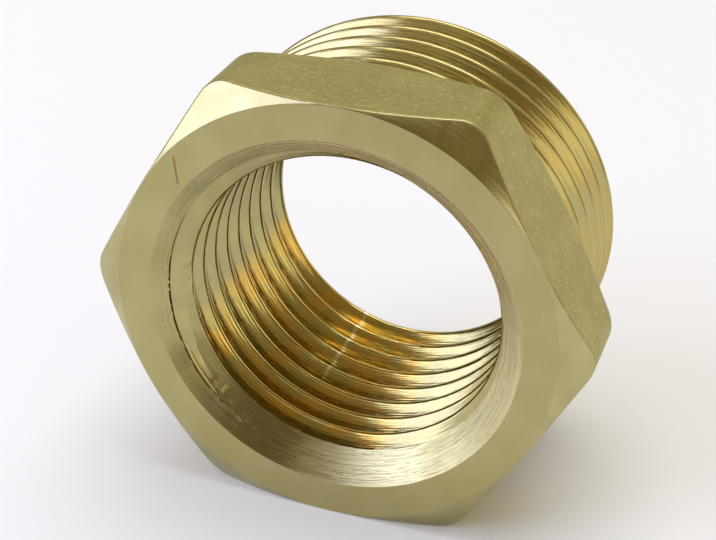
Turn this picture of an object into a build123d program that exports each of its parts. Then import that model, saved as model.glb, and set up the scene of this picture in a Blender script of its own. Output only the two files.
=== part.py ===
"""Brass hex reducing bushing for pipe, turned in one piece.

A short hexagon head carries a male pipe thread on its back, and a smaller female pipe thread
runs through the whole piece on the same axis. The bushing lies on one flat of its head.

Frame, in millimetres: the origin is on the axis of the bore, halfway along the piece. +Y runs
along that axis from the head towards the end of the male thread, and +Z is up.
"""
import os
from math import cos, radians, tan
from build123d import *
from build123d.topology import SkipClean

# Hexagon head.
across_flats = 27.0
corner_radius = 2.0
head_length = 6.5
turned_face_diameter = 26.9
head_chamfer_angle = 30.0
# Male thread behind the head, a parallel pipe thread.
male_crest_diameter = 26.2
shank_length = 10.5
lead_chamfer = 1.1
relief_diameter = 23.6
relief_width = 1.4
relief_side_angle = 45.0
# Bore, as wide as the crests of its fine female thread, a parallel pipe thread one size smaller.
female_crest_diameter = 18.9
mouth_diameter = 22.7
mouth_cone_angle = 96.0
rear_chamfer = 0.45
# The male thread is right-hand, 14 turns to the inch, with its flanks 55 degrees apart.
inch = 25.4
threads_per_inch = 14
thread_angle = 55.0
# For each millimetre of its pitch, it is this deep and has this much flat at its crest and root.
thread_depth_ratio = 0.6403
thread_land_ratio = 1 / 6
# Where its groove starts on the +X side of the piece, along the axis from the face.
groove_start = 5.99
# The thread is cut in a tube this much longer than the piece at its threaded end.
spare_length = 5.0
# A cutter stands this far clear of the surface that it cuts.
clearance = 0.15
# Sizes that follow from the ones above.
total_length = head_length + shank_length
corner_reach = (across_flats / 2 - corner_radius) / cos(radians(30)) + corner_radius
male_crest_radius = male_crest_diameter / 2
female_crest_radius = female_crest_diameter / 2
mouth_radius = mouth_diameter / 2
pitch = inch / threads_per_inch

# Local x is to the side, and local z is the distance from the face along the bore.
along_bore = Plane(origin=(0, 0, 0), x_dir=(1, 0, 0), z_dir=(0, 1, 0))


def turned(outline):
    """Solid swept once round the bore axis by an outline of (radius, distance from the face) points."""
    section = make_face(Polyline(*outline, close=True))
    return revolve(section, Axis.Y)


def head():
    """Hexagon bar with eased corners, bored, its two ends turned back to a cone at the corners."""
    hexagon = RegularPolygon(across_flats / 2, 6, major_radius=False)
    hexagon = fillet(hexagon.vertices(), corner_radius)
    bar = extrude(along_bore * hexagon, head_length)
    face_radius = turned_face_diameter / 2
    cone_depth = (corner_reach - face_radius) * tan(radians(head_chamfer_angle))
    envelope = [
        (mouth_radius, 0),
        (face_radius, 0),
        (corner_reach, cone_depth),
        (corner_reach, head_length - cone_depth),
        (face_radius, head_length),
        (mouth_radius, head_length),
    ]
    return bar & turned(envelope)


def groove():
    """Cutter for the male thread: a V with a flat bottom, wound on a helix round the shank."""
    land = thread_land_ratio * pitch
    open_radius = male_crest_radius + clearance
    root_radius = male_crest_radius - thread_depth_ratio * pitch
    half_opening = (pitch - land) / 2 + clearance * tan(radians(thread_angle / 2))
    section = [
        (open_radius, 0, groove_start - half_opening),
        (open_radius, 0, groove_start + half_opening),
        (root_radius, 0, groove_start + land / 2),
        (root_radius, 0, groove_start - land / 2),
    ]
    turns = (total_length - groove_start) // pitch + 2
    path = Helix(pitch, turns * pitch, male_crest_radius, center=(0, 0, groove_start))
    profile = make_face(Polyline(*section, close=True))
    return along_bore * sweep(profile, path=path, is_frenet=True)


def core():
    """The shank and the inside of the head: a long tube, threaded outside, then trimmed."""
    tube = turned(
        [
            (female_crest_radius - clearance, -clearance),
            (male_crest_radius, -clearance),
            (male_crest_radius, total_length + spare_length),
            (female_crest_radius - clearance, total_length + spare_length),
        ]
    )
    tube -= groove()
    relief_radius = relief_diameter / 2
    relief_end = head_length + relief_width
    relief_slope = (male_crest_radius - relief_radius) / tan(radians(relief_side_angle))
    mouth_depth = (mouth_radius - female_crest_radius) / tan(radians(mouth_cone_angle / 2))
    outline = [
        (mouth_radius, 0),
        (female_crest_radius, mouth_depth),
        (female_crest_radius, total_length - rear_chamfer),
        (female_crest_radius + rear_chamfer, total_length),
        (male_crest_radius - lead_chamfer, total_length),
        (male_crest_radius, total_length - lead_chamfer),
        (male_crest_radius, relief_end),
        (relief_radius, relief_end - relief_slope),
        (relief_radius, head_length),
        (mouth_radius, head_length),
    ]
    return tube & turned(outline)


def in_quarters(solid):
    """The same solid, its faces divided by two planes through the axis. A thread's face would
    otherwise wind on for a whole turn, with its middle off its own land."""
    pieces = [solid]
    for side in (-1, 1):
        divider = Plane(origin=(0, 0, 0), z_dir=(1, 0, side))
        halves = [split(piece, bisect_by=divider, keep=Keep.BOTH) for piece in pieces]
        pieces = [part for half in halves for part in half.solids()]
    return pieces[0].fuse(*pieces[1:])


# Joined as they are, so that the divided faces stay divided. The outlines above start at the
# face of the head, and the frame starts halfway along.
with SkipClean():
    hex_bushing = Pos(0, -total_length / 2, 0) * (head() + in_quarters(core()))

os.makedirs("parts", exist_ok=True)
export_step(hex_bushing, "parts/hex_bushing.step")
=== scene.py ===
from math import cos, pi, radians, sin, tan
import bmesh
import bpy
import numpy as np
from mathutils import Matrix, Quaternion, Vector


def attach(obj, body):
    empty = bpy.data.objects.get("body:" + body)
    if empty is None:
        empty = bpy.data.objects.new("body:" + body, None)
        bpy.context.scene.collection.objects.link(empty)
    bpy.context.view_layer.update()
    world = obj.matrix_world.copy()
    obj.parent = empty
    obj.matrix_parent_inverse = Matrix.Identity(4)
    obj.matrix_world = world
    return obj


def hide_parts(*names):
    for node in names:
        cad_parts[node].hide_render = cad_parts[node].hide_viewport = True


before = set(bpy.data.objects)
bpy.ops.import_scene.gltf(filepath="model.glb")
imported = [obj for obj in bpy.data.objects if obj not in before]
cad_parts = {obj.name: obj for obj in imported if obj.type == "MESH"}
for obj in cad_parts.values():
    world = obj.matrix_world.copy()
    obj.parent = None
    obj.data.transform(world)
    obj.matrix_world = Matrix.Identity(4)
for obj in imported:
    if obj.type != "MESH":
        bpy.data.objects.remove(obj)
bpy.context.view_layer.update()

# The camera looks down into the mouth of the bore from the front and a little to the right. The
# lens is the 84 mm of a small product set, and the camera leans by under two degrees.
eye = Vector((0.027710, -0.085815, 0.049863))
target = Vector((0.001590, -0.008500, 0.003776))
lean = radians(1.73)
camera_data = bpy.data.cameras.new("camera")
camera_data.lens = 84.0
camera_data.sensor_width = 36.0
camera_data.clip_start = 0.001
camera_data.clip_end = 10
camera = bpy.data.objects.new("camera", camera_data)
camera.location = eye
camera.rotation_mode = "QUATERNION"
camera.rotation_quaternion = (target - eye).to_track_quat("-Z", "Y") @ Quaternion((0, 0, 1), lean)
bpy.context.scene.collection.objects.link(camera)
bpy.context.scene.camera = camera
bpy.context.scene.view_settings.view_transform = "Standard"

# The head, sawn from drawn brass hexagon bar with slightly eased corners. Its face is turned flat,
# and a cone turned at each end takes the corners off. Sizes are in millimetres, and a place along
# the axis is counted from the middle of the piece.
face = -8.5
seat = -2.0
flat_distance = 13.5
corner_radius = 2.0
face_radius = 13.45
cone_slope = tan(radians(30))
mouth_radius = 11.35
mouth_slope = tan(radians(48))
relief_radius = 11.8
# The skin of the whole piece is a grid: rows along its outline, and columns round its axis, which
# stand closer together at the corners of the hexagon.
per_corner = 12
per_flat = 34
corner_reach = radians(4.2)
flats = 6
sector = 2 * pi / flats
corner_columns = np.linspace(-corner_reach, corner_reach, per_corner, endpoint=False)
flat_columns = np.linspace(corner_reach, sector - corner_reach, per_flat, endpoint=False)
one_side = np.concatenate([corner_columns, flat_columns])
angles = np.concatenate([one_side + k * sector for k in range(flats)])
angles = np.append(angles, angles[0] + 2 * pi)
turn = (angles - angles[0]) / (2 * pi)
same = np.ones_like(angles)


def bar_radius(angle):
    """Distance from the axis to the side of the hexagon bar in each direction."""
    from_flat = (angle % sector) - sector / 2
    from_corner = sector / 2 - np.abs(from_flat)
    centre = (flat_distance - corner_radius) / cos(sector / 2)
    flat = flat_distance / np.cos(from_flat)
    reach = np.maximum(corner_radius**2 - (centre * np.sin(from_corner)) ** 2, 0)
    eased = centre * np.cos(from_corner) + np.sqrt(reach)
    flat_half = (flat_distance - corner_radius) * tan(sector / 2)
    return np.where(flat_distance * np.abs(np.tan(from_flat)) < flat_half, flat, eased)


def rounded(corners, radii, steps, longest_share=0.45):
    """Rows of an outline of (place along the axis, radius) corners, each but the ends rounded. The
    rounding takes up no more than a share of the shorter side."""
    rows = [corners[0]]
    for before, corner, after, radius in zip(corners, corners[1:], corners[2:], radii):
        here = np.stack(corner)
        back = np.stack(before) - here
        on = np.stack(after) - here
        back_length = np.hypot(*back)
        on_length = np.hypot(*on)
        back = back / back_length
        on = on / on_length
        between = np.arccos(np.clip((back * on).sum(0), -1, 1))
        shorter = np.minimum(back_length, on_length)
        setback = np.minimum(radius / np.tan(between / 2), longest_share * shorter)
        middle = (back + on) / np.hypot(*(back + on))
        centre = here + middle * setback / np.cos(between / 2)
        start = here + back * setback - centre
        finish = here + on * setback - centre
        spread = pi - between
        for step in range(steps + 1):
            part = step / steps
            swing = np.sin((1 - part) * spread) * start + np.sin(part * spread) * finish
            rows.append(tuple(centre + swing / np.sin(spread)))
    rows.append(corners[-1])
    return rows


side = bar_radius(angles)
trim = (side - face_radius) * cone_slope
# The head's rows start a little way down the cone of the mouth, before the thread cuts into it,
# and stop short of the shank. The edge radii are those of the mouth, the face, the two ends of
# the flats and the seat.
mouth_start = -7.85
cone_radius = mouth_radius - (mouth_start - face) * mouth_slope
edge_radii = [0.06, 0.12, 0.22, 0.2, 0.12]
edge_steps = 4
head_rows = rounded(
    [
        (mouth_start * same, cone_radius * same),
        (face * same, mouth_radius * same),
        (face * same, face_radius * same),
        (face + trim, side),
        (seat - trim, side),
        (seat * same, face_radius * same),
        (seat * same, relief_radius * same),
    ],
    edge_radii,
    edge_steps,
)[:-1]


class Wire:
    """An output of a shader node. A sum on wires adds Math nodes to the same finish."""

    def __init__(self, finish, socket):
        self.finish = finish
        self.socket = socket

    def math(self, operation, *values):
        return self.finish.node("ShaderNodeMath", {"operation": operation}, dict(enumerate(values)))

    def __add__(self, other):
        return self.math("ADD", self, other)

    def __sub__(self, other):
        return self.math("SUBTRACT", self, other)

    def __rsub__(self, other):
        return self.math("SUBTRACT", other, self)

    def __mul__(self, other):
        return self.math("MULTIPLY", self, other)

    def __truediv__(self, other):
        return self.math("DIVIDE", self, other)

    def __rtruediv__(self, other):
        return self.math("DIVIDE", other, self)

    def __pow__(self, other):
        return self.math("POWER", self, other)

    def __rpow__(self, other):
        return self.math("POWER", other, self)

    def __mod__(self, other):
        return self.math("FLOORED_MODULO", self, other)

    def __rmod__(self, other):
        return self.math("FLOORED_MODULO", other, self)

    __radd__ = __add__
    __rmul__ = __mul__


class Finish:
    """One finish: a shader, which is metal unless metal is 0, and a method that adds any node."""

    def __init__(self, name, metal=1):
        self.material = bpy.data.materials.new(name)
        self.material.use_nodes = True
        self.tree = self.material.node_tree
        self.shader = self.tree.nodes["Principled BSDF"]
        self.shader.inputs["Metallic"].default_value = metal

    def node(self, kind, settings, sockets, output=0):
        new = self.tree.nodes.new(kind)
        for name, value in settings.items():
            setattr(new, name, value)
        for name, value in sockets.items():
            self.join(value, new.inputs[name])
        return Wire(self, new.outputs[output])

    def join(self, value, socket):
        if isinstance(value, Wire):
            self.tree.links.new(value.socket, socket)
        else:
            socket.default_value = value

    def place(self, per_metre=1000):
        """Where a point is on the piece, in millimetres, and its distance from the axis."""
        spot = self.node("ShaderNodeTexCoord", {}, {}, "Object")
        spot = self.node("ShaderNodeVectorMath", {"operation": "SCALE"}, {0: spot, "Scale": per_metre})
        x = self.node("ShaderNodeSeparateXYZ", {}, {0: spot}, "X")
        y = self.node("ShaderNodeSeparateXYZ", {}, {0: spot}, "Y")
        z = self.node("ShaderNodeSeparateXYZ", {}, {0: spot}, "Z")
        return spot, x, y, z, (x * x + z * z) ** 0.5

    def vector(self, *parts):
        """Three wires as one vector."""
        return self.node("ShaderNodeCombineXYZ", {}, dict(enumerate(parts)))

    def noise(self, where, scale, detail=3.0, spread=0.5):
        """A soft grey pattern from 0 to 1, with its average in the middle."""
        sockets = {"Vector": where, "Scale": scale, "Detail": detail, "Roughness": spread}
        return self.node("ShaderNodeTexNoise", {}, sockets)

    def streaks(self, *parts):
        """The same with more contrast, in a space that three wires stretch."""
        return self.noise(self.vector(*parts), scale=1.0, spread=0.65)

    def ramp(self, value, low, high):
        """0 where the value is under low, 1 where it is over high, and smooth between."""
        settings = {"interpolation_type": "SMOOTHSTEP"}
        return self.node("ShaderNodeMapRange", settings, {0: value, 1: low, 2: high, 3: 0.0, 4: 1.0})

    def cloud(self, where, scale):
        """A faint cloud of tone."""
        return self.ramp(self.noise(where, scale), low=0.35, high=0.7)

    def mix(self, mask, first, second):
        """The first colour where the mask is 0, and the second where it is 1."""
        sockets = {0: mask, 6: first, 7: second}
        return self.node("ShaderNodeMix", {"data_type": "RGBA"}, sockets, 2)

    def set_all(self, colour, roughness, height, depth):
        """Sets the colour, the roughness and a relief of the given depth in metres."""
        self.join(colour, self.shader.inputs["Base Color"])
        self.join(roughness, self.shader.inputs["Roughness"])
        bump = self.node("ShaderNodeBump", {}, {"Height": height, "Distance": depth, "Strength": 1.0})
        self.join(bump, self.shader.inputs["Normal"])


olive_brass = (0.42, 0.37, 0.165, 1)
pale_brass = (0.50, 0.44, 0.215, 1)
scratch_brown = (0.30, 0.19, 0.09, 1)
# Streaks run far round the piece before they change. Along a cone, the tool's steps are a fifth of
# a millimetre wide and waver with the rings.
around_count = 2
step_count = 5
step_waver = 2
ring_dulling = 0.16
side_waver = 0.1


def turned(finish, tints, ring_count, smooth, ring_depth, step_depth=0.0, marks=(), painted_light_sides=()):
    """Finish of a lathe tool: fine rings, so many to the millimetre, under a faint cloud of tone.
    A tool that cuts a cone also leaves steps, which face a little more to the front. Marks are
    scratches. Sides are directions from the axis in which painted highlights and painted shade
    tint the metal."""
    spot, x, y, z, radius = finish.place()
    rings = finish.streaks(radius * ring_count, (x + z) / radius * around_count, y * ring_count)
    relief = rings
    if step_depth:
        steps = 1 - (radius * step_count + rings * step_waver) % 1
        relief = rings + steps * (step_depth / ring_depth)
    colour = finish.mix(finish.cloud(spot, scale=0.35), *tints)
    for start, end, width, tint in marks:
        colour = finish.mix(scratch(finish, x, z, start, end, width), colour, tint)
    # Each side paints a highlight or shade into the colour.
    for direction, low, high, tint in painted_light_sides:
        toward = (x * cos(direction) + z * sin(direction)) / radius + (rings - 0.5) * side_waver
        colour = finish.mix(finish.ramp(toward, low, high), colour, tint)
    finish.set_all(colour, smooth + rings * ring_dulling, relief, ring_depth)


def scratch(finish, x, z, start, end, width, fade_in=0.2, fade_out=0.3):
    """1 on a straight scratch across the face, from one (x, z) point to another."""
    run = Vector(end) - Vector(start)
    length = run.length
    run.normalize()
    along = (x - start[0]) * run.x + (z - start[1]) * run.y
    across = (x - start[0]) * run.y - (z - start[1]) * run.x
    inside = finish.ramp(along, 0, fade_in) * finish.ramp(along, length, length - fade_out)
    return finish.ramp(across * across, width * width, 0) * inside


turned_face = Finish("turned_face")
face_scratches = [
    ((-9.64, 8.84), (-9.38, 6.95), 0.09, scratch_brown),
    ((7.0, -11.5), (10.3, -9.9), 0.05, pale_brass),
    ((8.0, -11.9), (9.9, -10.9), 0.04, scratch_brown),
]
turned(
    turned_face,
    tints=((0.44, 0.385, 0.165, 1), (0.475, 0.42, 0.192, 1)),
    ring_count=8,
    smooth=0.32,
    ring_depth=0.000009,
    marks=face_scratches,
)
turned_cone = Finish("turned_cone")
turned(
    turned_cone,
    tints=(olive_brass, pale_brass),
    ring_count=5,
    smooth=0.14,
    ring_depth=0.000012,
)
# The cone of the mouth has a painted highlight at the upper right and at the bottom, and painted shade
# between them at the lower left.
mouth_cone = Finish("mouth_cone")
cone_painted_light = [
    (radians(40), 0.0, 0.8, (0.76, 0.68, 0.38, 1)),
    (radians(230), 0.85, 0.93, (0.28, 0.24, 0.10, 1)),
    (radians(282), 0.9, 0.97, (0.56, 0.5, 0.26, 1)),
]
turned(
    mouth_cone,
    tints=(olive_brass, (0.49, 0.43, 0.2, 1)),
    ring_count=7,
    smooth=0.2,
    ring_depth=0.000014,
    step_depth=0.00003,
    painted_light_sides=cone_painted_light,
)
# The flats keep the dull grain of the drawn bar, with small bright specks.
drawn_flat = Finish("drawn_flat")
spot, x, y, z, radius = drawn_flat.place()
grain = drawn_flat.noise(spot, scale=3.2, detail=4.0, spread=0.75)
grain_tint = drawn_flat.mix(
    drawn_flat.cloud(spot, scale=0.4), (0.40, 0.355, 0.125, 1), (0.45, 0.4, 0.145, 1)
)
specks = drawn_flat.ramp(drawn_flat.noise(spot, scale=4.5, detail=2.0), low=0.56, high=0.68)
speck_strength = 0.6
speck_tint = (0.62, 0.55, 0.26, 1)
grain_smooth = 0.38
grain_dulling = 0.2
drawn_flat.set_all(
    drawn_flat.mix(specks * speck_strength, grain_tint, speck_tint),
    grain_smooth + grain * grain_dulling,
    grain,
    depth=0.00006,
)

# The male thread, cut along the shank behind a relief groove, with a lead chamfer at its end. It is
# a 55 degree pipe thread with 14 turns to the inch, and its crests and roots are rounded.
rear = 8.5
male_crest = 13.1
inch = 25.4
threads_per_inch = 14
pitch = inch / threads_per_inch
flank = radians(27.5)
depth_ratio = 0.6403
round_ratio = 0.1373
thread_depth = depth_ratio * pitch
thread_round = round_ratio * pitch
relief_end = seat + 1.4
lead = 1.1
bend_steps = 4
bends = [(pi / 2 - flank) * step / bend_steps for step in range(bend_steps + 1)]
crest = [(thread_round * sin(bend), thread_round * (1 - cos(bend))) for bend in bends]
crest_width, crest_drop = crest[-1]
flank_width = (thread_depth - 2 * crest_drop) * tan(flank)
half_width = 2 * crest_width + flank_width
root = [(half_width - x, thread_depth - d) for x, d in reversed(crest)]
half = crest + [(half_width / 2, thread_depth / 2)] + root
half = [(x * pitch / 2 / half_width, d) for x, d in half]
# One pitch of the thread as (place along the pitch, depth below the crest), from root to root.
section = [(-x, d) for x, d in reversed(half[1:])] + half
section_place = np.array([x for x, d in section])
section_depth = np.array([d for x, d in section])
least_gap = 1e-6


def thread_rows(first, last, crest_at, crest_radius, outward, envelope):
    """Rows that follow the helix from first to last along the axis, cut by a turned envelope. Each
    is its places along the axis, its radii, and whether it lies on the edge of the cut."""
    lowest = int(np.floor((first - crest_at) / pitch)) - 1
    highest = int(np.ceil((last - crest_at) / pitch)) + 2
    along = np.concatenate([k * pitch + section_place[:-1] for k in range(lowest, highest + 1)])
    wound = crest_at + along[:, None] - pitch * turn[None, :]
    at = np.clip(wound, first, last)

    def cut(at):
        """Radius of the thread and of the envelope at a place along the axis in each column."""
        phase = (at - crest_at + pitch * turn[None, :] + pitch / 2) % pitch - pitch / 2
        thread = crest_radius - outward * np.interp(phase, section_place, section_depth)
        return thread, np.interp(at, *envelope)

    thread, trimmed = cut(at)
    over = (thread - trimmed) * outward
    crease = np.zeros(at.shape, bool)
    # Where the envelope cuts the thread, the nearer point moves to the cut, so it stays an edge.
    for i in range(len(along) - 1):
        gap = at[i + 1] - at[i]
        crosses = (over[i] * over[i + 1] < 0) & (gap > least_gap)
        part = over[i] / np.where(crosses, over[i] - over[i + 1], 1)
        edge = at[i] + part * gap
        lower = crosses & (part < 0.5) & (at[i] > first)
        upper = crosses & ~lower & (at[i + 1] < last)
        at[i] = np.where(lower, edge, at[i])
        at[i + 1] = np.where(upper, edge, at[i + 1])
        crease[i] |= lower
        crease[i + 1] |= upper
    thread, trimmed = cut(at)
    radius = np.minimum(thread, trimmed) if outward > 0 else np.maximum(thread, trimmed)
    used = [i for i in range(len(along)) if (wound[i] > first).any() and (wound[i] < last).any()]
    return [(at[i], radius[i], crease[i]) for i in range(min(used) - 1, max(used) + 2)]


# The place of a crest is given on the side that faces the camera, a sixth of a turn from +X.
camera_side = radians(60.94)
crest_side = camera_side / (2 * pi) - angles[0] / (2 * pi)
male_crest_place = 7.16
male_rows = thread_rows(
    seat,
    rear,
    male_crest_place + pitch * crest_side,
    male_crest,
    1,
    (
        [seat, relief_end - (male_crest - relief_radius), relief_end, rear - lead, rear],
        [relief_radius, relief_radius, male_crest, male_crest, male_crest - lead],
    ),
)

# The ribs along a thread are a fourteenth of its pitch wide. Patches of tone are wider and shorter.
rib_count = 14
rib_smooth = 0.1
rib_dulling = 0.1
rib_waver = 0.04
patch_count = 2
patch_around = 5
patch_along = 0.4
painted_reflection_fade = 0.8
pale_line_width = 0.03
pale_line_start = (-1.2, -0.8)
pale_line_strength = 0.8
pale_line_tint = (0.9, 0.82, 0.55, 1)


def threaded(finish, tints, painted_reflection_tints, painted_reflection_side, painted_reflection_reach, painted_reflection_from, rib_depth, pale_line=None):
    """Finish of a threading tool: fine ribs that follow the thread. In one direction from the axis,
    over a given reach and from one place along the axis on, the metal takes other tints: a painted
    reflection. The last argument, if given, is the direction from the axis of a pale line painted
    along the axis across the threads."""
    spot, x, y, z, radius = finish.place()
    across = (y / pitch + x.math("ARCTAN2", z, x) / (2 * pi)) % 1
    ribs = finish.streaks(across * rib_count, x / radius * around_count, z / radius * around_count)
    patches = finish.vector(
        across * patch_count, x / radius * patch_around, z / radius * patch_around + y * patch_along
    )
    patches = finish.ramp(finish.noise(patches, scale=1.0), low=0.4, high=0.62)
    # A painted reflection tints the metal in one direction from the axis.
    painted_reflection = (x * cos(painted_reflection_side) + z * sin(painted_reflection_side)) / radius
    painted_reflection = finish.ramp(painted_reflection + ribs * rib_waver, *painted_reflection_reach)
    painted_reflection = painted_reflection * finish.ramp(y, painted_reflection_from, painted_reflection_from + painted_reflection_fade)
    colour = finish.mix(painted_reflection, finish.mix(patches, *tints), finish.mix(patches, *painted_reflection_tints))
    # A pale line painted along the axis across the threads, only where the painted reflection is.
    if pale_line:
        off_line = x * sin(pale_line) - z * cos(pale_line)
        line = finish.ramp(off_line * off_line, pale_line_width, 0) * finish.ramp(y, *pale_line_start)
        colour = finish.mix(line * painted_reflection * pale_line_strength, colour, pale_line_tint)
    finish.set_all(colour, rib_smooth + ribs * rib_dulling, ribs, rib_depth)


# The right side of the male thread is painted a warmer gold, a painted reflection.
cut_thread = Finish("cut_thread")
threaded(
    cut_thread,
    tints=(olive_brass, pale_brass),
    painted_reflection_tints=((0.52, 0.41, 0.14, 1), (0.48, 0.42, 0.17, 1)),
    painted_reflection_side=radians(30),
    painted_reflection_reach=(0.0, 0.7),
    painted_reflection_from=seat,
    rib_depth=0.00003,
)

# The bore, with a thread one pipe size smaller from the countersunk mouth to the rear end. Its
# lower left is darker and browner: a painted reflection in an orange brown tint. A pale line is
# painted across its threads there.
bore_crest = 9.45
rear_bore = 9.9
mouth_depth = (mouth_radius - bore_crest) / mouth_slope
bore_root_place = 5.67
female_rows = thread_rows(
    mouth_start,
    rear,
    bore_root_place + pitch * (crest_side + 0.5),
    bore_crest,
    -1,
    (
        [mouth_start, face + mouth_depth, rear - (rear_bore - bore_crest), rear],
        [cone_radius, bore_crest, bore_crest, rear_bore],
    ),
)
# The tool tore small burrs along the lower left of the edge where the thread starts. They fade
# out towards the crest of the thread.
burr = 0.12
burr_side = radians(235)
burr_reach = 0.4
burr_spacing = 0.7
burr_fade = 0.3
chance = np.random.default_rng(7)
for place, size, crease in female_rows:
    torn = crease & (place < face + mouth_depth + pitch) & (np.cos(angles - burr_side) > burr_reach)
    height = burr * chance.random(len(angles)) * (chance.random(len(angles)) > burr_spacing)
    size -= np.where(torn, height * np.clip((size - bore_crest) / burr_fade, 0, 1), 0)
bore_thread = Finish("bore_thread")
threaded(
    bore_thread,
    tints=(olive_brass, (0.46, 0.4, 0.17, 1)),
    painted_reflection_tints=((0.72, 0.48, 0.125, 1), (0.55, 0.47, 0.165, 1)),
    painted_reflection_side=radians(242),
    painted_reflection_reach=(0.68, 0.8),
    painted_reflection_from=-6.9,
    rib_depth=0.000025,
    pale_line=radians(251),
)

# The skin is one closed mesh, wound once round the outline: face, head, seat, shank, rear end and
# bore. Each stretch of it has the finish that its tool left.
finishes = [turned_face, turned_cone, drawn_flat, cut_thread, bore_thread, mouth_cone]
smooth_row = np.zeros(len(angles), bool)
rows = [(place, size, smooth_row) for place, size in head_rows]
rows += male_rows
rows += female_rows[::-1][:-1]
grid = np.array([[place, size] for place, size, crease in rows])
# A rounded edge and the stretch before it are so many bands of faces. The cone of the mouth ends
# halfway round its edge.
per_edge = edge_steps + 1
mouth_bands = 3
head_bands = [mouth_cone] * mouth_bands + [turned_face] * per_edge + [turned_cone] * per_edge
head_bands += [drawn_flat] * per_edge + [turned_cone] * per_edge
shank_end = len(head_rows) + len(male_rows) - 1
relief_slope = 1.0
thread_start = relief_end - relief_slope
rear_slack = 0.01
cone_slack = 0.02


def finish_at(band, along, out):
    """Finish of a face in a band of the grid, at a place along the axis and a distance from it."""
    if band < len(head_bands):
        return head_bands[band]
    if band < shank_end:
        return cut_thread if along > thread_start else turned_face
    if along > rear - rear_slack:
        return turned_face
    cone_end = face + (mouth_radius - out) / mouth_slope
    return mouth_cone if along < cone_end + cone_slack else bore_thread


metre = 0.001
per_metre = 1000
weld = 1e-7
edge_angle = radians(32)
bm = bmesh.new()
verts = []
for place, size in grid:
    for along, out, angle in zip(place, size, angles):
        verts.append(bm.verts.new((metre * out * cos(angle), metre * along, metre * out * sin(angle))))
count = len(angles)
for i in range(len(rows)):
    n = (i + 1) % len(rows)
    for j in range(count - 1):
        a, b = verts[i * count + j], verts[i * count + j + 1]
        c, d = verts[n * count + j + 1], verts[n * count + j]
        along = (a.co.y + b.co.y + c.co.y + d.co.y) / 4 * per_metre
        out = (grid[i, 1, j] + grid[n, 1, j]) / 2
        finish = finish_at(i, along, out)
        # Where the edge of a cut passes from one row to the next, it runs along a diagonal.
        if rows[i][2][j] and rows[n][2][j + 1]:
            corners = [(a, b, c), (a, c, d)]
        elif rows[i][2][j + 1] and rows[n][2][j]:
            corners = [(a, b, d), (b, c, d)]
        else:
            corners = [(a, b, c, d)]
        for corner in corners:
            bm.faces.new(corner).material_index = finishes.index(finish)
bmesh.ops.remove_doubles(bm, verts=bm.verts, dist=weld)
bmesh.ops.dissolve_degenerate(bm, edges=bm.edges, dist=weld)
bmesh.ops.recalc_face_normals(bm, faces=bm.faces)
skin = bpy.data.meshes.new("hex_bushing_body")
bm.to_mesh(skin)
bm.free()
skin.shade_smooth()
skin.set_sharp_from_angle(angle=edge_angle)
for finish in finishes:
    skin.materials.append(finish.material)
bushing = bpy.data.objects.new("hex_bushing_body", skin)
bpy.context.scene.collection.objects.link(bushing)
weighted = bushing.modifiers.new("normals", "WEIGHTED_NORMAL")
weighted.keep_sharp = True
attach(bushing, "root")
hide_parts("hex_bushing")


# The floor is matt white paper. A low dark card stands in front of it, and only the brass sees it,
# as the dark edge of the set. The card is cut away at its lower right, so that the light from
# there reaches the male thread.
def matt(name, colour, roughness=0.9):
    """A plain matt finish."""
    finish = Finish(name, metal=0)
    finish.shader.inputs["Base Color"].default_value = colour
    finish.shader.inputs["Roughness"].default_value = roughness
    return finish


floor_level = -0.0135
floor_size = 2.0
floor_corners = [(-1, -1), (1, -1), (1, 1), (-1, 1)]
floor_points = [(floor_size * a, floor_size * b, floor_level) for a, b in floor_corners]
floor_mesh = bpy.data.meshes.new("floor")
floor_mesh.from_pydata(floor_points, [], [(0, 1, 2, 3)])
floor_mesh.materials.append(matt("floor_paper", (0.93, 0.93, 0.93, 1)).material)
floor = bpy.data.objects.new("floor", floor_mesh)
bpy.context.scene.collection.objects.link(floor)
card_distance = 0.11
card_height = 0.09
card_gap = 0.0002
card_notch = radians(27)
notch_height = 0.036
card_from = -28
card_sweep = 88
card_steps = 24
card_points = []
card_faces = []
for step in range(card_steps + 1):
    direction = radians(card_from + card_sweep * step / card_steps)
    low = floor_level + card_gap if direction < card_notch else notch_height
    for height in (low, card_height):
        card_points.append((card_distance * sin(direction), -card_distance * cos(direction), height))
    if step:
        card_faces.append((2 * step - 2, 2 * step, 2 * step + 1, 2 * step - 1))
card_mesh = bpy.data.meshes.new("dark_card")
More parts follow.
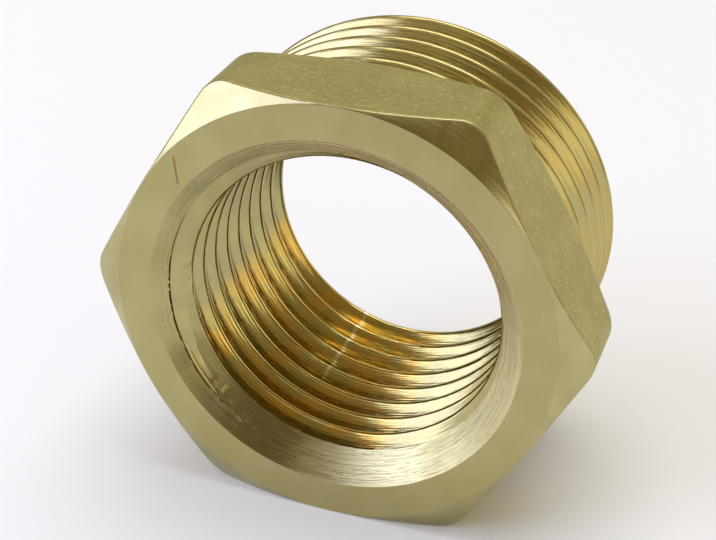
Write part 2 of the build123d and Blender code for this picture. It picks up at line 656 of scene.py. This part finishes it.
card_mesh.from_pydata(card_points, [], card_faces)
card_mesh.materials.append(matt("dark_felt", (0.27, 0.21, 0.09, 1)).material)
card = bpy.data.objects.new("dark_card", card_mesh)
bpy.context.scene.collection.objects.link(card)
card.visible_camera = False
card.visible_diffuse = False
card.visible_shadow = False

# Soft studio light: a large softbox close on the left, one overhead, two small ones low on the
# right and behind, and a dim, warm room round them.
room_tint = (1, 0.9, 0.7, 1)
room_level = 0.5
world = bpy.data.worlds.new("studio")
bpy.context.scene.world = world
world.use_nodes = True
world.node_tree.nodes["Background"].inputs["Color"].default_value = room_tint
world.node_tree.nodes["Background"].inputs["Strength"].default_value = room_level


def softbox(name, azimuth, elevation, distance, width, height, glow, tint):
    """A lamp that faces the piece. Azimuth is from the front towards +X, and glow is 1 for white."""
    lamp = bpy.data.lights.new(name, "AREA")
    lamp.shape = "RECTANGLE"
    lamp.size = width
    lamp.size_y = height
    lamp.energy = glow * pi * width * height
    lamp.color = tint
    holder = bpy.data.objects.new(name, lamp)
    around, up = radians(azimuth), radians(elevation)
    away = Vector((sin(around) * cos(up), -cos(around) * cos(up), sin(up)))
    holder.location = away * distance
    holder.rotation_mode = "QUATERNION"
    holder.rotation_quaternion = away.to_track_quat("Z", "Y")
    holder.visible_camera = False
    bpy.context.scene.collection.objects.link(holder)


softbox(
    "key_softbox",
    azimuth=-56,
    elevation=22,
    distance=0.5,
    width=0.44,
    height=0.42,
    glow=2.4,
    tint=(0.82, 0.91, 1.45),
)
softbox(
    "top_softbox",
    azimuth=180,
    elevation=80,
    distance=0.6,
    width=0.5,
    height=0.5,
    glow=2.3,
    tint=(0.97, 1, 1.1),
)
softbox(
    "right_softbox",
    azimuth=42,
    elevation=9,
    distance=0.4,
    width=0.34,
    height=0.14,
    glow=0.75,
    tint=(1, 0.95, 0.8),
)
softbox(
    "rear_softbox",
    azimuth=140,
    elevation=12,
    distance=0.5,
    width=0.3,
    height=0.25,
    glow=0.65,
    tint=(1, 0.97, 0.85),
)
